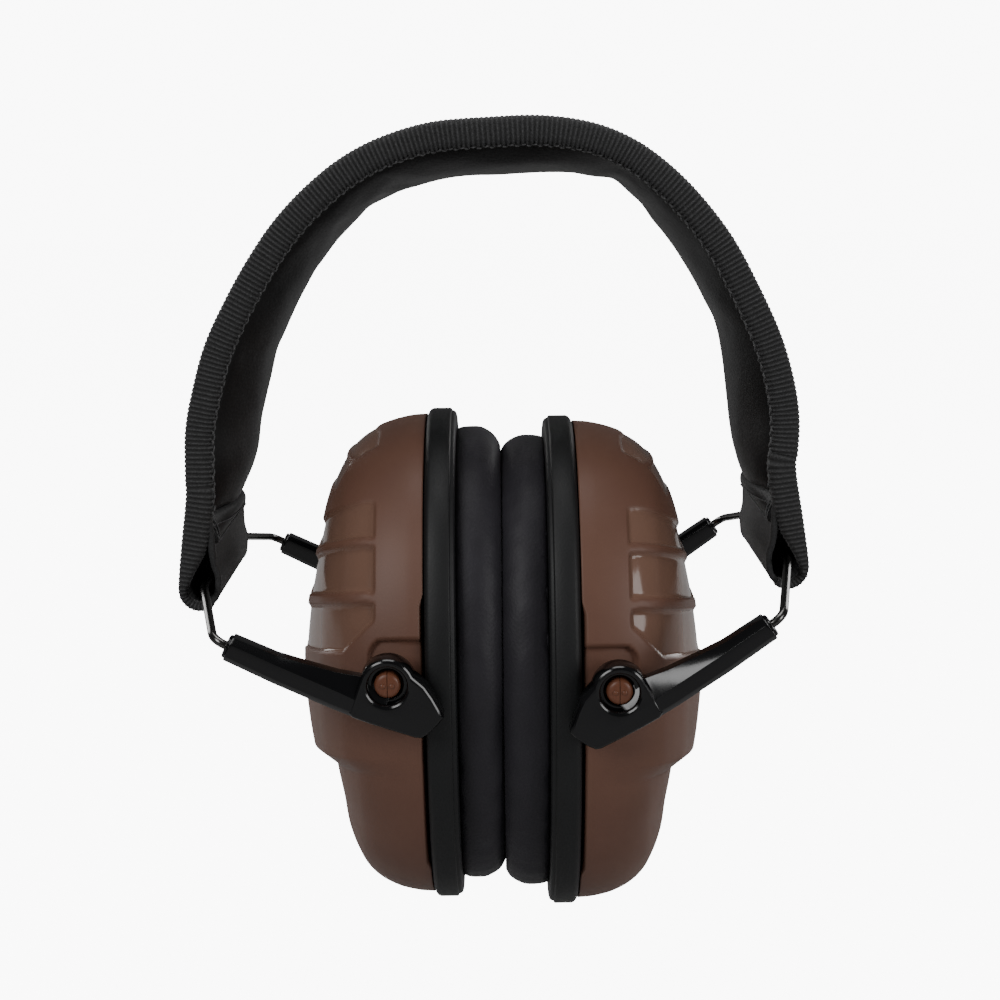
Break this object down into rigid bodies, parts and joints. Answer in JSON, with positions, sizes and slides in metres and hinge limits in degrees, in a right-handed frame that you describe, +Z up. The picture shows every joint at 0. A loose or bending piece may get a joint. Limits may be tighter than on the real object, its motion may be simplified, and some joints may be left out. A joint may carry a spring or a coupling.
{
  "type": "hearing protection earmuffs",
  "caption": "Folding passive earmuffs: padded ribbed headband, wire bails, glossy arms and cushioned brown ear cups that swing, extend and tilt.",
  "frame": {"origin": "inner face of the headband pad under the crown, where it rests on a head", "axes": "+X to the right seen from the front, -Y is the front, +Z up through the crown"},
  "size_m": [0.131, 0.0968, 0.1732],
  "materials": {
    "leatherette": "soft leatherette",
    "foam": "open-cell foam",
    "liner_cloth": "thin cloth",
    "ribbon": "ribbed woven tape",
    "spring_steel": "spring steel",
    "wire_steel": "dark polished wire",
    "black_gloss": "gloss",
    "black_textured": "fine texture",
    "brown_shell": "satin with gloss windows",
    "brown_pin": "gloss"
  },
  "bodies": {
    "headband": {"headband_cover": "leatherette", "headband_foam": "foam", "headband_spring_strip": "spring_steel", "front_edge_ribbon": "ribbon", "rear_edge_ribbon": "ribbon", "left_end_loop": "ribbon", "left_end_tape": "ribbon", "right_end_loop": "ribbon", "right_end_tape": "ribbon"},
    "left_bail": {"left_wire_bail": "wire_steel"},
    "left_arms": {"left_front_arm": "black_gloss", "left_rear_arm": "black_gloss"},
    "left_cup": {"left_front_pivot_pin": "brown_pin", "left_rear_pivot_pin": "brown_pin", "left_cup_shell": "brown_shell", "left_rim_plate": "black_textured", "left_cushion_snap_ring": "black_textured", "left_ear_cushion": "leatherette", "left_liner_cloth": "liner_cloth", "left_foam_liner": "foam"},
    "right_bail": {"right_wire_bail": "wire_steel"},
    "right_arms": {"right_front_arm": "black_gloss", "right_rear_arm": "black_gloss"},
    "right_cup": {"right_front_pivot_pin": "brown_pin", "right_rear_pivot_pin": "brown_pin", "right_cup_shell": "brown_shell", "right_rim_plate": "black_textured", "right_cushion_snap_ring": "black_textured", "right_ear_cushion": "leatherette", "right_liner_cloth": "liner_cloth", "right_foam_liner": "foam"}
  },
  "joints": [
    {"name": "left_cup_open", "type": "hinge", "parent": "headband", "child": "left_bail", "pos_m": [-0.06, 0, -0.08352], "axis": [0, 1, 0], "range_deg": [0, 50]},
    {"name": "left_arm_extend", "type": "slide", "parent": "left_bail", "child": "left_arms", "axis": [0.8942, 0, -0.4478], "range_m": [0, 0.0135]},
    {"name": "left_cup_tilt", "type": "hinge", "parent": "left_arms", "child": "left_cup", "pos_m": [-0.0209, 0, -0.0979], "axis": [0, 1, 0], "range_deg": [-50, 0]},
    {"name": "right_cup_open", "type": "hinge", "parent": "headband", "child": "right_bail", "pos_m": [0.06091, 0, -0.07964], "axis": [0, -1, 0], "range_deg": [0, 50]},
    {"name": "right_arm_extend", "type": "slide", "parent": "right_bail", "child": "right_arms", "axis": [-0.8141, 0, -0.5807], "range_m": [0, 0.0135]},
    {"name": "right_cup_tilt", "type": "hinge", "parent": "right_arms", "child": "right_cup", "pos_m": [0.0245, 0, -0.0999], "axis": [0, -1, 0], "range_deg": [-50, 0]}
  ],
  "couplings": [
    {"joint": "left_arm_extend", "follows": "left_cup_open", "m_per_rad": 0.015},
    {"joint": "left_cup_tilt", "follows": "left_cup_open", "ratio": -1},
    {"joint": "right_arm_extend", "follows": "right_cup_open", "m_per_rad": 0.015},
    {"joint": "right_cup_tilt", "follows": "right_cup_open", "ratio": -1}
  ]
}
